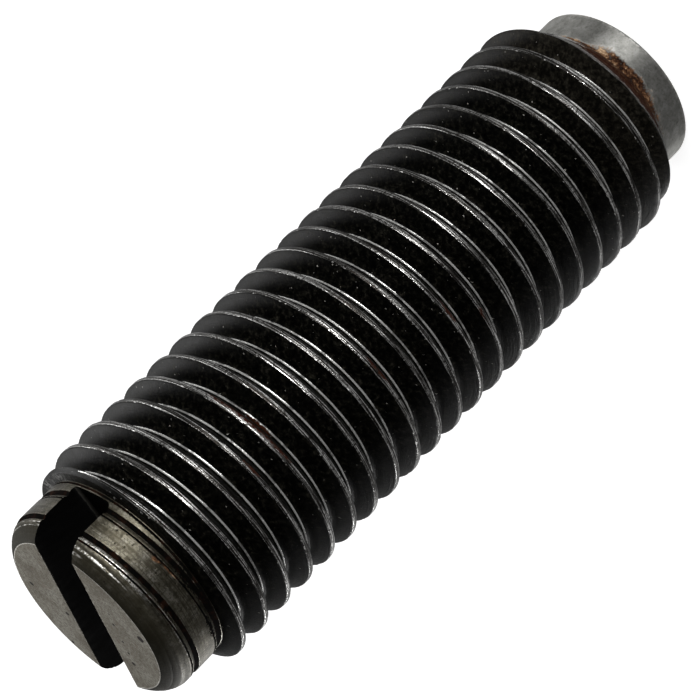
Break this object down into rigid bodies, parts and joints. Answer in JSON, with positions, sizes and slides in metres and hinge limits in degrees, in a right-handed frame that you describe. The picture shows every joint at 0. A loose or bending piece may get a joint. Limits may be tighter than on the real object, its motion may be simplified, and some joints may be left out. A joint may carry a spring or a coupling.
{
  "type": "valve adjusting screw",
  "caption": "Headless steel adjusting screw: right-hand fine thread along its length, a slotted turned end at the top and a plain round point at the foot.",
  "frame": {"origin": "centre of the plain point's flat end face, which is the lowest point of the screw", "axes": "+Z along the screw's axis from the plain point to the slotted face, +X along the driver slot, +Y across it"},
  "size_m": [0.0098, 0.0098, 0.0315],
  "materials": {
    "dark_steel": "dark oxide on the thread's flanks, bare satin steel on the crests, turned bands, slotted face and point"
  },
  "bodies": {
    "root": {"adjusting_screw": "dark_steel"}
  },
  "joints": []
}
